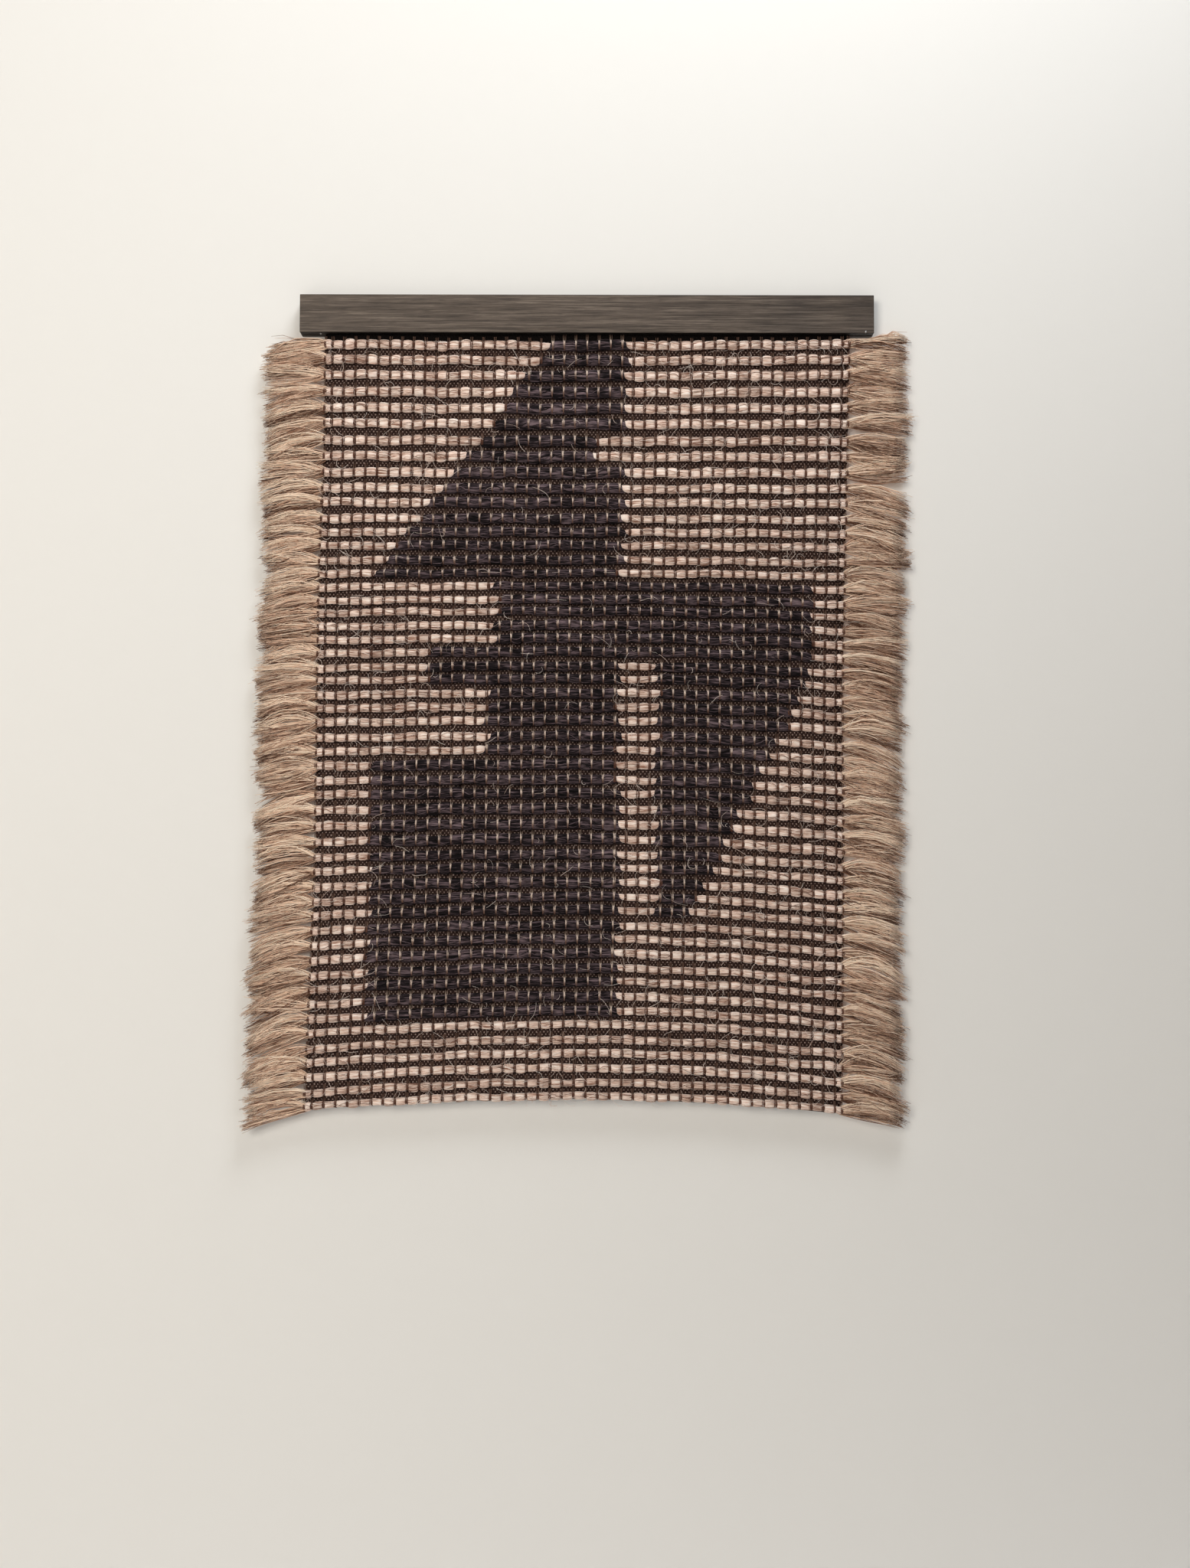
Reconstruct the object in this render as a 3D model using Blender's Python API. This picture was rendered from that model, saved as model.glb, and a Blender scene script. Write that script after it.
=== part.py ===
"""Tapestry wall hanging: a two-strip wooden batten that clamps the top hem of a hand-woven cloth.

The cloth is a fine dark ground with 53 thick bundles of fibre laid across it, one above another.
Each bundle runs past both selvages and ends there as a combed-out tassel, so the tassels make the fringe.

Frame: metres, +Z up, +X to the viewer's right. The wall is the plane y = 0 and everything hangs at y < 0.
The origin is the middle of the rear strip's back face.
"""

import math

import bmesh
import bpy
import numpy as np

# Batten: two strips with the cloth's hem between them.
BATTEN_LENGTH = 0.750
BATTEN_HEIGHT = 0.050
REAR_DEPTH = 0.008
CLAMP_SLOT = 0.002
FRONT_DEPTH = 0.010
EDGE_CHAMFER = 0.0005

# Clearance kept between neighbouring solids.
GAP = 0.0003

# Keyhole pockets in the back of the rear strip, for the heads of two wall screws.
KEYHOLE_X = 0.290
KEYHOLE_ENTRY_Z = -0.008
KEYHOLE_RISE = 0.014
KEYHOLE_ENTRY_RADIUS = 0.0050
KEYHOLE_NECK_WIDTH = 0.0048
KEYHOLE_DEPTH = 0.0053
KEYHOLE_LIP = 0.0024

# Countersunk screws that draw the two strips together, just outside the cloth.
SCREW_X = 0.361
SCREW_SHANK_RADIUS = 0.00175
SCREW_HEAD_RADIUS = 0.0034
SCREW_HEAD_DEPTH = 0.0024
SCREW_LENGTH = 0.0165

# Cloth: row numbers run from 1 at the batten to ROW_COUNT at the bottom.
ROW_COUNT = 53
GROUND_THICKNESS = 0.0014
BUNDLE_DEPTH = 0.0080
BUNDLE_SHARE_OF_PITCH = 0.57
HEM_RISE = 0.043
FOLD_ROW = 16
HINGE_CLEARANCE = 0.0009
BEAT_WOBBLE = 0.0007

# Height of the rows at mid-width: the weaver's beat is loose at the top and tighter below.
ROW_HEIGHTS = (
    (1, -0.0412),
    (2, -0.0600),
    (9, -0.2090),
    (12, -0.2684),
    (16, -0.3403),
    (20, -0.4074),
    (24, -0.4786),
    (26, -0.5142),
    (33, -0.6464),
    (35, -0.6867),
    (44, -0.8515),
    (53, -1.0160),
)
# How far each row's end stands above its middle: row number, at the left selvage, at the right selvage.
ROW_END_LIFTS = (
    (1, 0.0015, 0.0025),
    (10, 0.0010, 0.0000),
    (20, -0.0040, -0.0080),
    (32, -0.0030, -0.0160),
    (45, -0.0115, -0.0185),
    (53, -0.0150, -0.0180),
)
# Half-widths of the cloth: height, left selvage, right selvage.
SELVAGES = (
    (0.000, -0.3430, 0.3450),
    (-0.190, -0.3435, 0.3410),
    (-0.340, -0.3490, 0.3370),
    (-0.470, -0.3500, 0.3335),
    (-0.720, -0.3510, 0.3335),
    (-1.040, -0.3620, 0.3295),
)

# Fringe: each bundle's free ends.
FRINGE_LENGTH = 0.078
FRINGE_FLARE_SHARE = 0.82
FRINGE_TIP_DEPTH = 0.0056
FRINGE_DROOP_TOP = 0.003
FRINGE_DROOP_BOTTOM = 0.018

SIDES = 8
ROUND = 24

SLOT_MIDDLE_Y = -(REAR_DEPTH + CLAMP_SLOT / 2)
FRONT_BACK_Y = -(REAR_DEPTH + CLAMP_SLOT)
BUNDLE_Y = SLOT_MIDDLE_Y - GROUND_THICKNESS / 2 - GAP - BUNDLE_DEPTH / 2
BATTEN_BOTTOM = -BATTEN_HEIGHT / 2
SWING_Z = BATTEN_BOTTOM - 4 * GAP

STAINED_OAK = ((0.109, 0.084, 0.069), 0.62, 0.0)
NATURAL_FIBRE = ((0.515, 0.352, 0.283), 0.85, 0.0)
DARK_GROUND = ((0.053, 0.034, 0.032), 0.92, 0.0)
BRIGHT_STEEL = ((0.60, 0.60, 0.58), 0.28, 1.0)


def clear_scene():
    for old in list(bpy.data.objects):
        bpy.data.objects.remove(old, do_unlink=True)


def finish(obj, look):
    """Gives the object a material of its own, from its base colour, roughness and metallic value."""
    colour, roughness, metallic = look
    material = bpy.data.materials.new(obj.name + "_finish")
    material.use_nodes = True
    shader = material.node_tree.nodes["Principled BSDF"]
    shader.inputs["Base Color"].default_value = (*colour, 1.0)
    shader.inputs["Roughness"].default_value = roughness
    shader.inputs["Metallic"].default_value = metallic
    obj.data.materials.append(material)


def new_object(name, bm, parent=None, origin=(0.0, 0.0, 0.0)):
    """Puts a bmesh, whose points are in world metres, into an object with its origin at the given place."""
    bmesh.ops.translate(bm, verts=bm.verts, vec=[-value for value in origin])
    bmesh.ops.recalc_face_normals(bm, faces=bm.faces)
    mesh = bpy.data.meshes.new(name)
    bm.to_mesh(mesh)
    bm.free()
    obj = bpy.data.objects.new(name, mesh)
    bpy.context.scene.collection.objects.link(obj)
    obj.parent = parent
    base = parent.location if parent else (0.0, 0.0, 0.0)
    obj.location = [value - start for value, start in zip(origin, base)]
    return obj


def axis_empty(name, height):
    """An empty on a hinge line of the cloth, which lies along X in the cloth's own plane."""
    empty = bpy.data.objects.new(name, None)
    empty.empty_display_size = 0.05
    empty.location = (0.0, SLOT_MIDDLE_Y, height)
    bpy.context.scene.collection.objects.link(empty)
    return empty


def block(low, high):
    bm = bmesh.new()
    bmesh.ops.create_cube(bm, size=1.0)
    size = [b - a for a, b in zip(low, high)]
    bmesh.ops.scale(bm, verts=bm.verts, vec=size)
    bmesh.ops.translate(bm, verts=bm.verts, vec=[(a + b) / 2 for a, b in zip(low, high)])
    return bm


def turned(profile, x, z):
    """A solid of revolution about a line along Y. The profile is (radius, y) pairs that start and end on the axis."""
    bm = bmesh.new()
    verts = [bm.verts.new((radius, y, 0.0)) for radius, y in profile]
    edges = [bm.edges.new(pair) for pair in zip(verts, verts[1:])]
    bmesh.ops.spin(
        bm, geom=verts + edges, cent=(0, 0, 0), axis=(0, 1, 0), angle=2 * math.pi, steps=ROUND, use_merge=True
    )
    bmesh.ops.remove_doubles(bm, verts=bm.verts, dist=1e-6)
    bmesh.ops.translate(bm, verts=bm.verts, vec=(x, 0.0, z))
    return bm


def chamfer(obj):
    bevel = obj.modifiers.new("eased_edges", "BEVEL")
    bevel.width = EDGE_CHAMFER
    bevel.segments = 1


def cut(obj, name, bm):
    """Subtracts a closed shape from a strip, and keeps the shape as a hidden guide."""
    guide = new_object(name, bm)
    guide.hide_render = True
    guide.display_type = "WIRE"
    boolean = obj.modifiers.new(name, "BOOLEAN")
    boolean.operation = "DIFFERENCE"
    boolean.solver = "EXACT"
    boolean.object = guide


def smooth_round(obj):
    obj.data.shade_smooth()
    obj.data.set_sharp_from_angle(angle=math.radians(40))


def cut_keyhole(strip, side, x):
    """A round entry, a narrow neck above it, and a wider undercut behind the neck that traps the screw head."""
    top = KEYHOLE_ENTRY_Z + KEYHOLE_RISE
    entry = [(0, 0.001), (KEYHOLE_ENTRY_RADIUS, 0.001), (KEYHOLE_ENTRY_RADIUS, -KEYHOLE_DEPTH), (0, -KEYHOLE_DEPTH)]
    cut(strip, "guide_keyhole_entry_" + side, turned(entry, x, KEYHOLE_ENTRY_Z))
    half = KEYHOLE_NECK_WIDTH / 2
    neck = block((x - half, -KEYHOLE_LIP - 0.0005, KEYHOLE_ENTRY_Z), (x + half, 0.001, top))
    cut(strip, "guide_keyhole_neck_" + side, neck)
    wide = KEYHOLE_ENTRY_RADIUS - 0.0003
    undercut = block((x - wide, -KEYHOLE_DEPTH + 0.0002, KEYHOLE_ENTRY_Z), (x + wide, -KEYHOLE_LIP, top + 0.002))
    cut(strip, "guide_keyhole_undercut_" + side, undercut)


def make_battens():
    half = BATTEN_LENGTH / 2
    rear_low = (-half, -REAR_DEPTH, BATTEN_BOTTOM)
    rear = new_object("rear_batten", block(rear_low, (half, 0.0, -BATTEN_BOTTOM)))
    front_low = (-half, FRONT_BACK_Y - FRONT_DEPTH, BATTEN_BOTTOM)
    front = new_object("front_batten", block(front_low, (half, FRONT_BACK_Y, -BATTEN_BOTTOM)))
    for strip in (rear, front):
        finish(strip, STAINED_OAK)
        chamfer(strip)
    shaft = SCREW_SHANK_RADIUS + GAP
    head = SCREW_HEAD_RADIUS + GAP
    for side, sign in (("left", -1), ("right", 1)):
        cut_keyhole(rear, side, sign * KEYHOLE_X)
        x = sign * SCREW_X
        sink = [
            (0, 0.001),
            (head, 0.001),
            (head, -GAP),
            (shaft, -SCREW_HEAD_DEPTH - GAP),
            (shaft, -REAR_DEPTH - 0.001),
            (0, -REAR_DEPTH - 0.001),
        ]
        cut(rear, "guide_screw_sink_" + side, turned(sink, x, 0.0))
        end = -SCREW_LENGTH - 2 * GAP
        pilot = [(0, FRONT_BACK_Y + 0.001), (shaft, FRONT_BACK_Y + 0.001), (shaft, end), (0, end)]
        cut(front, "guide_screw_pilot_" + side, turned(pilot, x, 0.0))


def make_screws():
    for side, sign in (("left", -1), ("right", 1)):
        profile = [
            (0, -GAP),
            (SCREW_HEAD_RADIUS, -GAP),
            (SCREW_SHANK_RADIUS, -SCREW_HEAD_DEPTH),
            (SCREW_SHANK_RADIUS, -SCREW_LENGTH + 0.002),
            (0, -SCREW_LENGTH),
        ]
        screw = new_object("clamp_screw_" + side, turned(profile, sign * SCREW_X, 0.0))
        smooth_round(screw)
        finish(screw, BRIGHT_STEEL)


def selvages(z):
    heights, left, right = np.array(SELVAGES[::-1]).T
    return float(np.interp(z, heights, left)), float(np.interp(z, heights, right))


def row_height(row):
    """Height of a row's middle, with the small unevenness of a hand-beaten weave."""
    rows, heights = np.array(ROW_HEIGHTS).T
    return float(np.interp(row, rows, heights)) + BEAT_WOBBLE * math.sin(2.4 * row)


def row_z(row, x):
    """Height of a row at x: its middle height plus the end's lift, which grows with the square of the way out."""
    rows, left_lift, right_lift = np.array(ROW_END_LIFTS).T
    middle = row_height(row)
    left, right = selvages(middle)
    if x < 0:
        return middle + float(np.interp(row, rows, left_lift)) * (x / left) ** 2
    return middle + float(np.interp(row, rows, right_lift)) * (x / right) ** 2


def row_pitch(row):
    """Room that a row has: the smaller distance to its two neighbours."""
    above = row_height(row - 1) - row_height(row) if row > 1 else 1.0
    below = row_height(row) - row_height(row + 1) if row < ROW_COUNT else 1.0
    return min(above, below)


def ring(bm, x, y, z, half_height, half_depth):
    turns = [2 * math.pi * (k + 0.5) / SIDES for k in range(SIDES)]
    swell = 1 / math.cos(math.pi / SIDES)
    return [
        bm.verts.new((x, y + swell * half_depth * math.cos(t), z + swell * half_height * math.sin(t))) for t in turns
    ]


def make_row(row, parent):
    """One bundle, from tassel tip to tassel tip: an eight-sided section swept along the row's gentle arch."""
    middle = row_height(row)
    pitch = row_pitch(row)
    left, right = selvages(middle)
    half_height = BUNDLE_SHARE_OF_PITCH * pitch / 2
    flare = FRINGE_FLARE_SHARE * pitch / 2
    share = (row - 1) / (ROW_COUNT - 1)
    droop = FRINGE_DROOP_TOP + (FRINGE_DROOP_BOTTOM - FRINGE_DROOP_TOP) * share
    bm = bmesh.new()
    rings = []
    tip_y = BUNDLE_Y + 0.001
    for end, sign, order in ((left, -1, (1.0, 0.45)), (right, 1, (0.45, 1.0))):
        tassel = []
        for along in order:
            height = half_height + (flare - half_height) * along
            depth = (BUNDLE_DEPTH + (FRINGE_TIP_DEPTH - BUNDLE_DEPTH) * along) / 2
            x = end + sign * FRINGE_LENGTH * along
            tassel.append((x, tip_y, row_z(row, end) - droop * along**2, height, depth))
        if sign < 0:
            rings += [ring(bm, *place) for place in tassel]
            for x in (left, left / 2, 0.0, right / 2, right):
                rings.append(ring(bm, x, BUNDLE_Y, row_z(row, x), half_height, BUNDLE_DEPTH / 2))
        else:
            rings += [ring(bm, *place) for place in tassel]
    for first, second in zip(rings, rings[1:]):
        for k in range(SIDES):
            after = (k + 1) % SIDES
            bm.faces.new((first[k], first[after], second[after], second[k]))
    bm.faces.new(rings[0])
    bm.faces.new(rings[-1])
    obj = new_object("weft_row_%02d" % row, bm, parent, (0.0, BUNDLE_Y, middle))
    finish(obj, NATURAL_FIBRE)


def make_ground(name, outline, parent, origin):
    """A flat panel of the ground cloth: its outline in X and Z, given the cloth's thickness along Y."""
    bm = bmesh.new()
    front = SLOT_MIDDLE_Y - GROUND_THICKNESS / 2
    face = bm.faces.new([bm.verts.new((x, front, z)) for x, z in outline])
    grown = bmesh.ops.extrude_face_region(bm, geom=[face])
    moved = [item for item in grown["geom"] if isinstance(item, bmesh.types.BMVert)]
    bmesh.ops.translate(bm, verts=moved, vec=(0.0, GROUND_THICKNESS, 0.0))
    obj = new_object(name, bm, parent, origin)
    finish(obj, DARK_GROUND)


def selvage_points(top, bottom):
    """The panel's heights on its two selvages, from top to bottom."""
    between = [z for z, _, _ in SELVAGES if bottom < z < top]
    return [top, *between, bottom]


def fold_height():
    """The hinge line between two rows: midway between the lowest underside above it and the highest top below it."""
    left, right = selvages(row_height(FOLD_ROW))
    across = np.linspace(left, right, 41)
    above = BUNDLE_SHARE_OF_PITCH * row_pitch(FOLD_ROW) / 2
    below = BUNDLE_SHARE_OF_PITCH * row_pitch(FOLD_ROW + 1) / 2
    lowest = min(row_z(FOLD_ROW, x) for x in across) - above
    highest = max(row_z(FOLD_ROW + 1, x) for x in across) + below
    return round((lowest + highest) / 2, 4)


def make_cloth():
    fold_z = fold_height()
    swing = axis_empty("cloth_swing_axis", SWING_Z)
    fold = axis_empty("cloth_fold_axis", fold_z)

    hem_bottom = BATTEN_BOTTOM - GAP
    hem_left, hem_right = selvages(hem_bottom)
    hem_top = hem_bottom + HEM_RISE
    hem = [(hem_left, hem_top), (hem_left, hem_bottom), (hem_right, hem_bottom), (hem_right, hem_top)]
    make_ground("clamped_hem", hem, None, (0.0, SLOT_MIDDLE_Y, hem_bottom))

    heights = selvage_points(SWING_Z - HINGE_CLEARANCE, fold_z + HINGE_CLEARANCE)
    upper = [(selvages(z)[0], z) for z in heights] + [(selvages(z)[1], z) for z in reversed(heights)]
    make_ground("ground_cloth_upper", upper, swing, (0.0, SLOT_MIDDLE_Y, SWING_Z))

    left, right = selvages(row_height(ROW_COUNT))
    half_bundle = BUNDLE_SHARE_OF_PITCH * row_pitch(ROW_COUNT) / 2
    bottom = [(x, row_z(ROW_COUNT, x) - half_bundle) for x in np.linspace(left, right, 9)]
    left_side = [(selvages(z)[0], z) for z in selvage_points(fold_z - HINGE_CLEARANCE, bottom[0][1])[:-1]]
    right_side = [(selvages(z)[1], z) for z in selvage_points(fold_z - HINGE_CLEARANCE, bottom[-1][1])[:-1]]
    lower = left_side + bottom + right_side[::-1]
    make_ground("ground_cloth_lower", lower, fold, (0.0, SLOT_MIDDLE_Y, fold_z))

    for row in range(1, ROW_COUNT + 1):
        make_row(row, swing if row <= FOLD_ROW else fold)


clear_scene()
make_battens()
make_screws()
make_cloth()
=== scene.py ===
import math

import bpy
import numpy as np
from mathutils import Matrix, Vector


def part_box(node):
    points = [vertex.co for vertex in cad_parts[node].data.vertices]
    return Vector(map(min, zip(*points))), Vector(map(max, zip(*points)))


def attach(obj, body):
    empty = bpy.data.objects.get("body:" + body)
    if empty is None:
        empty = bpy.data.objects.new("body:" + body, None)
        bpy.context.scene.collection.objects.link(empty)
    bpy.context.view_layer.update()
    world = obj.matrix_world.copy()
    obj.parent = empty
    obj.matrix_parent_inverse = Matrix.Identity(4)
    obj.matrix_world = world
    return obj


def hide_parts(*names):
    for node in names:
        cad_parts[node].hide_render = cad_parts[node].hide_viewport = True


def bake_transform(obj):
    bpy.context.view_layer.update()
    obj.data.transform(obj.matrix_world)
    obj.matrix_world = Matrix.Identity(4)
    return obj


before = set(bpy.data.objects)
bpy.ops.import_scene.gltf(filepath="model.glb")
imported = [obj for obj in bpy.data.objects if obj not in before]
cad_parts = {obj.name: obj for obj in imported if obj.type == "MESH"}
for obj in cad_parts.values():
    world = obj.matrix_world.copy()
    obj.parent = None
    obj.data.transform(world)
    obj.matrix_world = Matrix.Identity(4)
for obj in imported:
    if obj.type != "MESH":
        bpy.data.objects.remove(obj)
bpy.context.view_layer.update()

# Camera: two metres in front of the hanging, level with its middle, tipped up a little so that more wall
# shows above the batten than below the fringe.
camera_data = bpy.data.cameras.new("camera")
camera_data.sensor_width = 36.0
camera_data.lens = 36.21
camera = bpy.data.objects.new("camera", camera_data)
camera.rotation_mode = "ZXY"
camera.location = (0.0118, -2.056, -0.6895)
camera.rotation_euler = [math.radians(angle) for angle in (92.1, 0.0, 0.115)]
bpy.context.collection.objects.link(camera)
bpy.context.scene.camera = camera


# Wall, floor and daylight: a plain pale room, lit softly from the upper left, as from a window. The wall
# is clear from behind, so that the back of the hanging can be seen too.
def tint(red, green, blue):
    """Scene-linear colour of a paint or dye that is given on the usual 0 to 255 display scale."""
    share = np.array([red, green, blue]) / 255
    linear = np.where(share <= 0.04045, share / 12.92, ((share + 0.055) / 1.055) ** 2.4)
    return (*linear.tolist(), 1.0)


def node(tree, kind, sockets=None, **settings):
    """Adds a shader node: settings are its properties, sockets its inputs, each linked if it is another
    output."""
    made = tree.nodes.new("ShaderNode" + kind)
    for name, value in settings.items():
        setattr(made, name, value)
    for name, value in (sockets or {}).items():
        if isinstance(value, bpy.types.NodeSocket):
            tree.links.new(value, made.inputs[name])
        else:
            made.inputs[name].default_value = value
    return made


def finish(name, sockets):
    """A new material with one Principled shader, whose constant sockets are set. Returns it, its tree and
    shader."""
    material = bpy.data.materials.new(name)
    material.use_nodes = True
    tree = material.node_tree
    tree.nodes.clear()
    shader = node(tree, "BsdfPrincipled", sockets)
    node(tree, "OutputMaterial", {"Surface": shader.outputs[0]})
    return material, tree, shader


plaster, tree, shader = finish("plaster", {"Base Color": tint(233, 233, 233), "Roughness": 0.92})
behind = node(tree, "NewGeometry").outputs["Backfacing"]
clear = node(tree, "BsdfTransparent").outputs[0]
one_sided = node(tree, "MixShader", {0: behind, 1: shader.outputs[0], 2: clear})
tree.links.new(one_sided.outputs[0], tree.nodes["Material Output"].inputs["Surface"])
relief = node(tree, "TexNoise", {"Scale": 30.0, "Detail": 6.0}).outputs["Fac"]
trowelled = node(tree, "Bump", {"Height": relief, "Strength": 0.05, "Distance": 0.002})
tree.links.new(trowelled.outputs[0], shader.inputs["Normal"])
room = bpy.data.meshes.new("room")
half_width, wall_gap, floor_height, wall_top, floor_front = 5.0, 0.0004, -1.75, 3.0, -6.0
room.from_pydata(
    [
        (-half_width, wall_gap, floor_height),
        (half_width, wall_gap, floor_height),
        (half_width, wall_gap, wall_top),
        (-half_width, wall_gap, wall_top),
        (half_width, floor_front, floor_height),
        (-half_width, floor_front, floor_height),
    ],
    [],
    [(0, 1, 2, 3), (5, 4, 1, 0)],
)
room.materials.append(plaster)
room_object = bpy.data.objects.new("room", room)
bpy.context.collection.objects.link(room_object)
room_object.visible_shadow = False


def soft_light(name, place, target, size, power, colour):
    """A square area light at place, turned to face target."""
    light = bpy.data.lights.new(name, "AREA")
    light.shape = "SQUARE"
    light.size = size
    light.energy = power
    light.color = colour
    lamp = bpy.data.objects.new(name, light)
    aim = np.array(target) - np.array(place)
    lamp.location = place
    lamp.rotation_euler = (
        math.pi / 2 + math.atan2(aim[2], math.hypot(aim[0], aim[1])),
        0.0,
        math.atan2(-aim[0], aim[1]),
    )
    bpy.context.collection.objects.link(lamp)


soft_light("window", (-1.59, -3.32, 0.22), (-1.99, 0.0, -0.43), 1.8, 84.0, (1.0, 0.932, 0.82))
soft_light("ceiling", (0.48, -1.01, 1.70), (-0.37, 0.0, -0.91), 0.9, 38.5, (0.92, 0.935, 0.93))
soft_light("back_fill", (1.3, 2.3, 0.3), (0.0, 0.0, -0.5), 2.0, 60.0, (1.0, 0.97, 0.93))
sky = bpy.data.worlds.new("sky")
sky.use_nodes = True
sky.node_tree.nodes["Background"].inputs["Color"].default_value = (1.0, 0.80, 0.62, 1.0)
sky.node_tree.nodes["Background"].inputs["Strength"].default_value = 0.05
bpy.context.scene.world = sky
bpy.context.scene.view_settings.view_transform = "Standard"


# Batten: two planed oak strips under a dark grey-brown stain. The grain runs along them. The stain is
# uneven, darker towards the right end. Every face but the front and back is painted darker, as painted
# shade on the underside, top and ends.
def ramp(tree, value, *stops):
    """A colour ramp over value. Each stop is its place from 0 to 1 and its colour."""
    made = node(tree, "ValToRGB", {"Fac": value})
    elements = made.color_ramp.elements
    for number, (place, colour) in enumerate(stops):
        element = elements[number] if number < 2 else elements.new(place)
        element.position = place
        element.color = colour
    return made.outputs["Color"]


def noise(tree, vector, scale, detail=3.0, distortion=0.0, roughness=0.55):
    """Soft random pattern from 0 to 1, whose scale is a number of swings per metre along each of the three
    axes."""
    stretched = node(tree, "Mapping", {"Vector": vector, "Scale": scale}).outputs[0]
    sockets = {"Vector": stretched, "Scale": 1.0, "Detail": detail, "Distortion": distortion}
    return node(tree, "TexNoise", {**sockets, "Roughness": roughness}).outputs["Fac"]


def blended(tree, kind, share, first, second):
    """Two colours laid over each other with a paint mode, such as MULTIPLY. share is how much the second
    shows."""
    made = node(tree, "Mix", data_type="RGBA", blend_type=kind)
    for socket, value in ((0, share), (6, first), (7, second)):
        if isinstance(value, bpy.types.NodeSocket):
            tree.links.new(value, made.inputs[socket])
        else:
            made.inputs[socket].default_value = value
    return made.outputs[2]


oak, tree, shader = finish("stained_oak", {"Roughness": 0.55, "Specular IOR Level": 0.35})
place = node(tree, "TexCoord").outputs["Object"]
figure = noise(tree, place, (4.5, 170.0, 170.0), 4.0, 0.8)
grain = noise(tree, place, (16.0, 620.0, 620.0), 5.0, 0.3, 0.7)
pores = noise(tree, place, (45.0, 1500.0, 1500.0), 2.0)
wood = ramp(tree, grain, (0.30, tint(52, 43, 38)), (0.50, tint(91, 80, 72)), (0.70, tint(126, 114, 104)))
broad = ramp(tree, figure, (0.36, tint(190, 184, 179)), (0.60, tint(255, 255, 255)))
wood = blended(tree, "MULTIPLY", 0.85, wood, broad)
pitted = ramp(tree, pores, (0.3, tint(120, 115, 110)), (0.42, tint(255, 255, 255)))
wood = blended(tree, "MULTIPLY", 0.75, wood, pitted)
along = node(tree, "SeparateXYZ", {"Vector": place}).outputs["X"]
half_length = 0.375
ends = {"Value": along, "From Min": -half_length, "From Max": half_length}
share = node(tree, "MapRange", ends).outputs[0]
uneven = ramp(
    tree,
    share,
    (0.0, tint(252, 252, 252)),
    (0.5, tint(255, 255, 255)),
    (0.78, tint(240, 240, 240)),
    (0.86, tint(212, 212, 214)),
    (0.93, tint(238, 238, 238)),
    (1.0, tint(218, 218, 220)),
)
wood = blended(tree, "MULTIPLY", 1.0, wood, uneven)
# Painted shade: faces that do not look forwards or backwards (underside, top, ends) are darkened, standing
# in for shadow under the batten.
outwards = node(tree, "NewGeometry").outputs["Normal"]
facing = node(tree, "SeparateXYZ", {"Vector": outwards}).outputs["Y"]
flatness = node(tree, "Math", {0: facing, 1: facing}, operation="MULTIPLY").outputs[0]
painted_shade_off_face = ramp(tree, flatness, (0.2, tint(72, 68, 68)), (0.8, tint(255, 255, 255)))
wood = blended(tree, "MULTIPLY", 1.0, wood, painted_shade_off_face)
tree.links.new(wood, shader.inputs["Base Color"])
open_grain = node(tree, "Bump", {"Height": grain, "Strength": 0.35, "Distance": 0.0004})
pit = {"Height": pores, "Strength": 0.3, "Distance": 0.0003, "Normal": open_grain.outputs[0]}
pitting = node(tree, "Bump", pit)
tree.links.new(pitting.outputs[0], shader.inputs["Normal"])


def dress(name, material):
    """Gives a CAD node its finish."""
    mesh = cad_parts[name].data
    mesh.materials.clear()
    mesh.materials.append(material)


dress("rear_batten", oak)
dress("front_batten", oak)


# Clamp screws: two turned steel wood screws that draw the strips together outside the cloth, with their
# heads let into the back.
steel, tree, shader = finish("bright_steel", {"Metallic": 1.0, "Roughness": 0.32})
place = node(tree, "TexCoord").outputs["Object"]
turned = noise(tree, place, (900.0, 900.0, 900.0), 3.0)
bright = ramp(tree, turned, (0.3, tint(165, 165, 168)), (0.7, tint(214, 214, 216)))
tree.links.new(bright, shader.inputs["Base Color"])
marks = node(tree, "Bump", {"Height": turned, "Strength": 0.15, "Distance": 0.0001})
tree.links.new(marks.outputs[0], shader.inputs["Normal"])
dress("clamp_screw_left", steel)
dress("clamp_screw_right", steel)


# Pins: two bright round-headed pins that hold the cloth's top corners, one driven up into the batten's
# underside and one into the lower edge of its face.
def link_piece(name, mesh, material):
    """Makes a mesh a piece of the object, with its finish."""
    mesh.materials.append(material)
    piece = bpy.data.objects.new(name, mesh)
    bpy.context.collection.objects.link(piece)
    return piece


def pin(name, foot, out, radius):
    """A pin's domed head and the top of its shank, turned about the direction out: a quarter circle over a
    straight neck, closed at both poles."""
    out = np.array(out, float)
    side = np.cross(out, (1.0, 0.0, 0.0))
    other = np.cross(out, side)
    rise = np.linspace(0.0, math.pi / 2, 7)
    neck, depth, brim, dome = 0.28, -1.6, 0.12, 0.85
    reach = np.r_[neck, neck, 0.9, np.cos(rise)[:-1]] * radius
    height = np.r_[depth, 0.0, 0.0, brim + np.sin(rise)[:-1] * dome] * radius
    angle = np.linspace(0.0, 2 * math.pi, 16, endpoint=False)
    turn = np.cos(angle)[:, None] * side + np.sin(angle)[:, None] * other
    rings = np.array(foot) + height[:, None, None] * out + reach[:, None, None] * turn
    poles = np.array(foot) + np.outer([depth * radius, (brim + dome) * radius], out)
    points = np.vstack([rings.reshape(-1, 3), poles])
    count, steps = len(reach), len(angle)
    index = np.arange(count * steps).reshape(count, steps)
    after = np.roll(index, -1, axis=1)
    walls = np.stack([index[:-1], after[:-1], after[1:], index[1:]], -1).reshape(-1, 4).tolist()
    bottom = [(after[0, k], index[0, k], count * steps) for k in range(steps)]
    top = [(index[-1, k], after[-1, k], count * steps + 1) for k in range(steps)]
    mesh = bpy.data.meshes.new(name)
    mesh.from_pydata(points.tolist(), [], walls + bottom + top)
    mesh.shade_smooth()
    piece = link_piece(name, mesh, steel)
    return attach(piece, "rail")


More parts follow.
